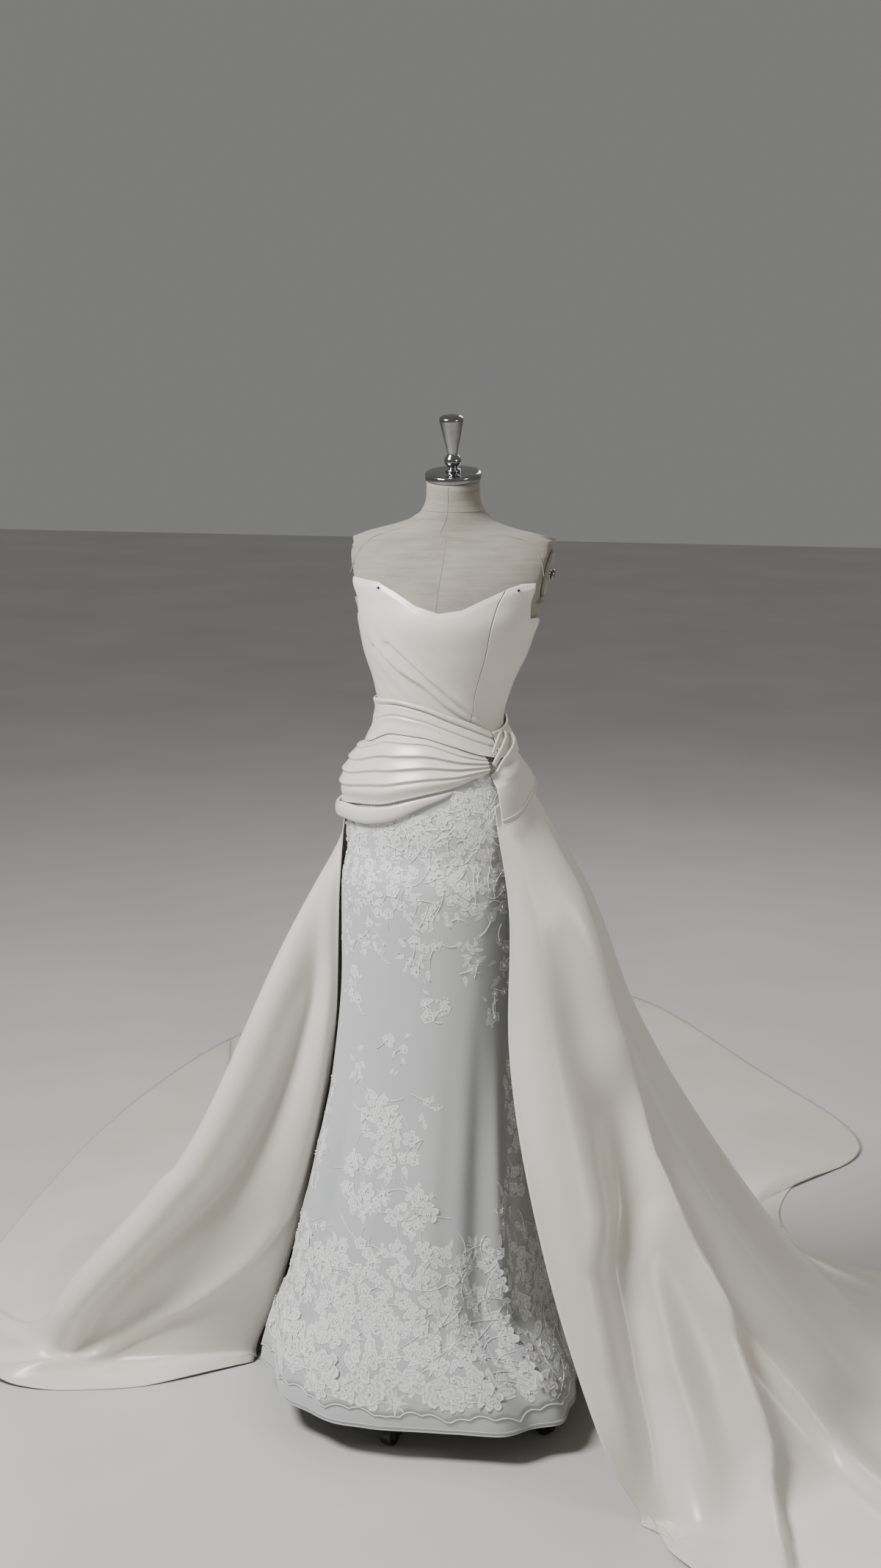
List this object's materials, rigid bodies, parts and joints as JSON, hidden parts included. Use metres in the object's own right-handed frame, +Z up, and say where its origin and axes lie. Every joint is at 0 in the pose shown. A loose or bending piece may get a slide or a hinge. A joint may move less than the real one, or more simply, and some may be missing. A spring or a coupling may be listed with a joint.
{
  "type": "wedding dress on a dress form",
  "caption": "Strapless satin wedding dress with draped sash, lace sheath and split overskirt with a long train, on a limbless dress form with a finial and a caster stand.",
  "frame": {"origin": "on the floor, under the middle of the whole part's box, train included", "axes": "+Z up; the form and the dress face -Y, and the train runs out behind to +Y; +X is the wearer's left"},
  "size_m": [2.2708, 3.1944, 1.7623],
  "materials": {
    "satin": "ivory duchess satin, soft sheen",
    "lace": "corded and beaded lace on net, matt",
    "tulle": "pale grey net over a matt lining",
    "linen": "grey-beige linen form cover",
    "chrome": "dark polished chrome",
    "black_plastic": "black, satin"
  },
  "bodies": {
    "dress_and_form": {"bodice_front": "satin", "bodice_side_right": "satin", "bodice_back_right": "satin", "bodice_back_left": "satin", "sash_upper": "satin", "hip_drape": "satin", "hip_roll": "satin", "hip_flap": "satin", "knot_loop_1": "satin", "knot_loop_2": "satin", "knot_loop_3": "satin", "overskirt_right": "satin", "overskirt_back": "satin", "overskirt_left": "satin", "sheath_tulle": "tulle", "sheath_lace": "lace", "form_torso": "linen", "arm_plate_left": "linen", "arm_plate_right": "linen", "arm_knob_left": "chrome", "arm_knob_right": "chrome", "neck_cap": "chrome", "finial": "chrome", "stand_pole": "chrome", "stand_hub": "black_plastic", "pin_left": "black_plastic", "pin_right": "black_plastic", "leg_1": "black_plastic", "leg_2": "black_plastic", "leg_3": "black_plastic", "leg_4": "black_plastic", "leg_5": "black_plastic"},
    "caster_1": {"caster_1_fork": "black_plastic"},
    "wheel_1": {"caster_1_wheel": "black_plastic"},
    "caster_2": {"caster_2_fork": "black_plastic"},
    "wheel_2": {"caster_2_wheel": "black_plastic"},
    "caster_3": {"caster_3_fork": "black_plastic"},
    "wheel_3": {"caster_3_wheel": "black_plastic"},
    "caster_4": {"caster_4_fork": "black_plastic"},
    "wheel_4": {"caster_4_wheel": "black_plastic"},
    "caster_5": {"caster_5_fork": "black_plastic"},
    "wheel_5": {"caster_5_wheel": "black_plastic"}
  },
  "joints": [
    {"name": "caster_1_swivel", "type": "hinge", "parent": "dress_and_form", "child": "caster_1", "pos_m": [-0.1076, -1.11734, 0.058], "axis": [0, 0, 1], "continuous": true},
    {"name": "caster_1_roll", "type": "hinge", "parent": "caster_1", "child": "wheel_1", "pos_m": [-0.11091, -1.12888, 0.0205], "axis": [0.9613, -0.2756, 0], "continuous": true},
    {"name": "caster_2_swivel", "type": "hinge", "parent": "dress_and_form", "child": "caster_2", "pos_m": [0.13543, -1.02889, 0.058], "axis": [0, 0, 1], "continuous": true},
    {"name": "caster_2_roll", "type": "hinge", "parent": "caster_2", "child": "wheel_2", "pos_m": [0.14537, -1.0356, 0.0205], "axis": [0.5592, 0.829, 0], "continuous": true},
    {"name": "caster_3_swivel", "type": "hinge", "parent": "dress_and_form", "child": "caster_3", "pos_m": [0.1264, -0.77042, 0.058], "axis": [0, 0, 1], "continuous": true},
    {"name": "caster_3_roll", "type": "hinge", "parent": "caster_3", "child": "wheel_3", "pos_m": [0.13586, -0.76303, 0.0205], "axis": [-0.6157, 0.788, 0], "continuous": true},
    {"name": "caster_4_swivel", "type": "hinge", "parent": "dress_and_form", "child": "caster_4", "pos_m": [-0.12221, -0.69913, 0.058], "axis": [0, 0, 1], "continuous": true},
    {"name": "caster_4_roll", "type": "hinge", "parent": "caster_4", "child": "wheel_4", "pos_m": [-0.12631, -0.68786, 0.0205], "axis": [-0.9397, -0.342, 0], "continuous": true},
    {"name": "caster_5_swivel", "type": "hinge", "parent": "dress_and_form", "child": "caster_5", "pos_m": [-0.26683, -0.91355, 0.058], "axis": [0, 0, 1], "continuous": true},
    {"name": "caster_5_roll", "type": "hinge", "parent": "caster_5", "child": "wheel_5", "pos_m": [-0.27882, -0.91396, 0.0205], "axis": [0.0349, -0.9994, 0], "continuous": true}
  ]
}
